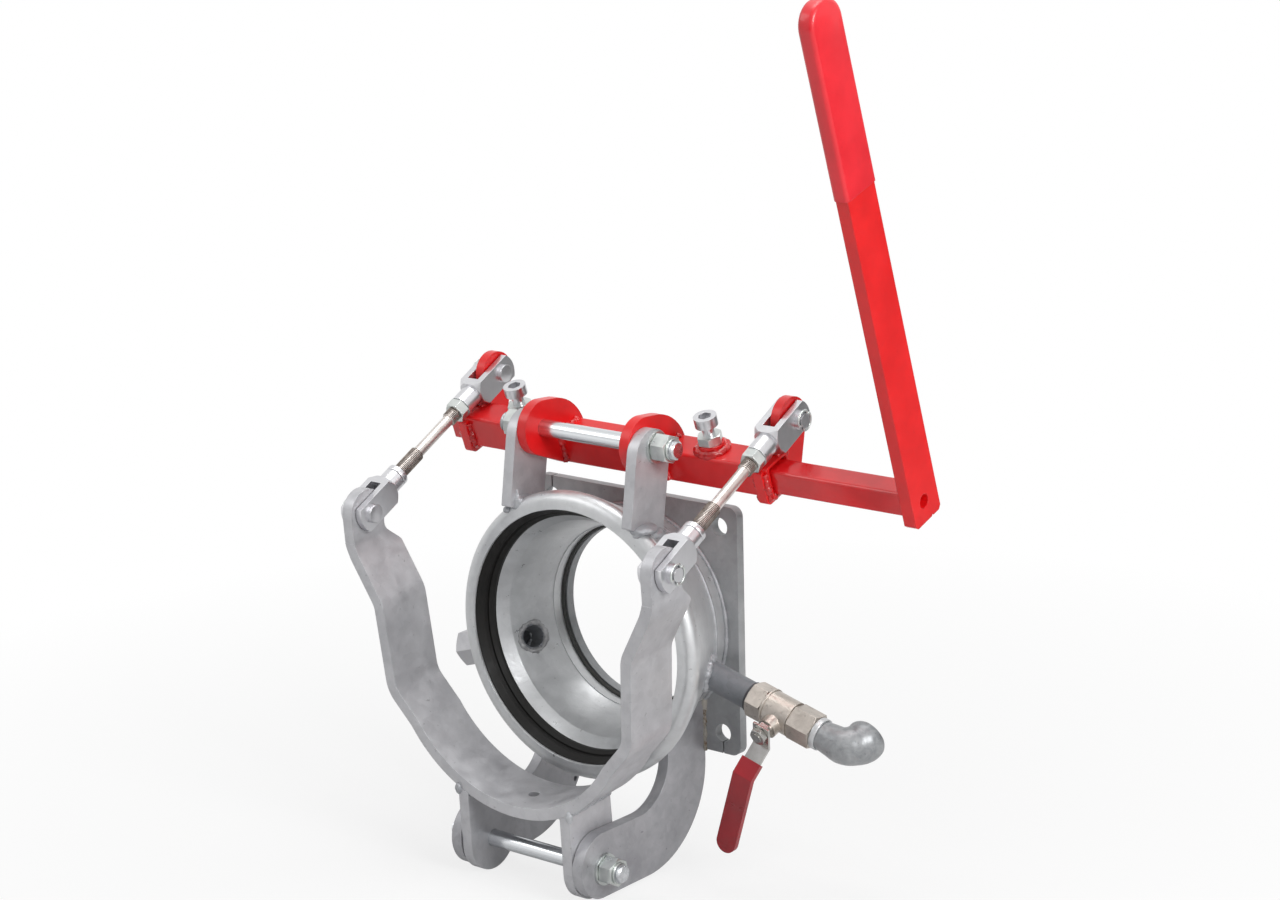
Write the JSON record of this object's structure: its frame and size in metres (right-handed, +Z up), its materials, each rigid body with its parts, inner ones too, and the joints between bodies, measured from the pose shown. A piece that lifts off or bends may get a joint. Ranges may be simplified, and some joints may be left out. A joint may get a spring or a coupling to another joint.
{
  "type": "irrigation pipe quick coupling",
  "caption": "Lever-closed quick coupling for irrigation pipe: flanged cup with lip seal, swinging yoke pulled tight by tie rods and a red hand lever, ball valve on a side port.",
  "frame": {"origin": "centre of the bore on the back face of the flange plate", "axes": "+Z up, +Y out of the back of the flange, the cup's mouth faces -Y, +X along the lever tube towards the hand lever"},
  "size_m": [0.6693, 0.289, 1.0344],
  "materials": {
    "galvanised_steel": "matt galvanised",
    "zinc_plated_steel": "bright zinc plate",
    "bare_steel": "turned, lightly oiled",
    "red_paint": "gloss",
    "grip_vinyl": "soft vinyl",
    "seal_rubber": "matt",
    "thread_tape": "matt",
    "nickel_brass": "nickel plated",
    "chromed_steel": "polished",
    "sleeve_vinyl": "dipped vinyl",
    "seat_plastic": "smooth",
    "galvanised_casting": "galvanised casting"
  },
  "bodies": {
    "housing": {"flange_plate": "galvanised_steel", "neck_ring": "galvanised_steel", "coupling_cup": "galvanised_steel", "cup_seal": "seal_rubber", "right_shaft_lug": "galvanised_steel", "left_shaft_lug": "galvanised_steel", "right_hinge_arm": "galvanised_steel", "left_hinge_arm": "galvanised_steel", "top_shaft": "zinc_plated_steel", "top_shaft_washers": "zinc_plated_steel", "top_shaft_nuts": "zinc_plated_steel", "bottom_shaft": "zinc_plated_steel", "bottom_shaft_washers": "zinc_plated_steel", "bottom_shaft_nuts": "zinc_plated_steel", "right_port_pipe": "galvanised_steel", "left_port_pipe": "galvanised_steel", "left_port_cap": "galvanised_steel", "valve_thread_tape": "thread_tape", "valve_end_piece": "nickel_brass", "valve_body": "nickel_brass", "valve_seats": "seat_plastic", "valve_gland_nut": "chromed_steel", "outlet_elbow": "galvanised_casting"},
    "lever_frame": {"square_tube": "red_paint", "right_pivot_plate": "red_paint", "left_pivot_plate": "red_paint", "right_crank_plate": "red_paint", "left_crank_plate": "red_paint", "set_screw_bosses": "red_paint", "set_screws": "zinc_plated_steel", "set_screw_nuts": "zinc_plated_steel"},
    "lever_bar": {"inner_bar": "red_paint", "hand_lever": "red_paint", "lever_grip": "grip_vinyl"},
    "right_link": {"right_upper_fork": "zinc_plated_steel", "right_lower_fork": "zinc_plated_steel", "right_tie_rod": "bare_steel", "right_rod_lock_nut": "zinc_plated_steel", "right_rod_thin_nut": "zinc_plated_steel", "right_upper_pin": "zinc_plated_steel", "right_lower_pin_ends": "zinc_plated_steel", "right_pin_collars": "zinc_plated_steel"},
    "left_link": {"left_upper_fork": "zinc_plated_steel", "left_lower_fork": "zinc_plated_steel", "left_tie_rod": "bare_steel", "left_rod_lock_nut": "zinc_plated_steel", "left_rod_thin_nut": "zinc_plated_steel", "left_upper_pin": "zinc_plated_steel", "left_lower_pin_ends": "zinc_plated_steel", "left_pin_collars": "zinc_plated_steel"},
    "yoke": {"yoke_band": "galvanised_steel", "right_yoke_leg": "galvanised_steel", "left_yoke_leg": "galvanised_steel", "hook_pin_cores": "zinc_plated_steel"},
    "valve_turn": {"valve_ball": "chromed_steel", "valve_stem": "chromed_steel", "valve_handle": "chromed_steel", "valve_handle_sleeve": "sleeve_vinyl", "valve_handle_nut": "chromed_steel"}
  },
  "joints": [
    {"name": "lever_pivot", "type": "hinge", "parent": "housing", "child": "lever_frame", "pos_m": [0, -0.0895, 0.2325], "axis": [1, 0, 0], "range_deg": [0, 110]},
    {"name": "lever_bar_slide", "type": "slide", "parent": "lever_frame", "child": "lever_bar", "axis": [1, 0, 0], "range_m": [-0.15, 0.09]},
    {"name": "right_rod_pivot", "type": "hinge", "parent": "lever_frame", "child": "right_link", "pos_m": [0.219, -0.00482, 0.26473], "axis": [1, 0, 0], "range_deg": [-93.96, 0]},
    {"name": "left_rod_pivot", "type": "hinge", "parent": "lever_frame", "child": "left_link", "pos_m": [-0.219, -0.00482, 0.26473], "axis": [1, 0, 0], "range_deg": [-93.96, 0]},
    {"name": "yoke_pivot", "type": "hinge", "parent": "housing", "child": "yoke", "pos_m": [0, -0.2035, -0.237], "axis": [1, 0, 0], "range_deg": [0, 15.65]},
    {"name": "valve_quarter_turn", "type": "hinge", "parent": "housing", "child": "valve_turn", "pos_m": [0.24222, -0.0538, -0.06581], "axis": [-0.0982, -0.9272, -0.3615], "range_deg": [0, 92]}
  ],
  "couplings": [
    {"joint": "right_rod_pivot", "follows": "lever_pivot", "ratio": -0.85409},
    {"joint": "left_rod_pivot", "follows": "lever_pivot", "ratio": -0.85409},
    {"joint": "yoke_pivot", "follows": "lever_pivot", "ratio": 0.14221}
  ]
}
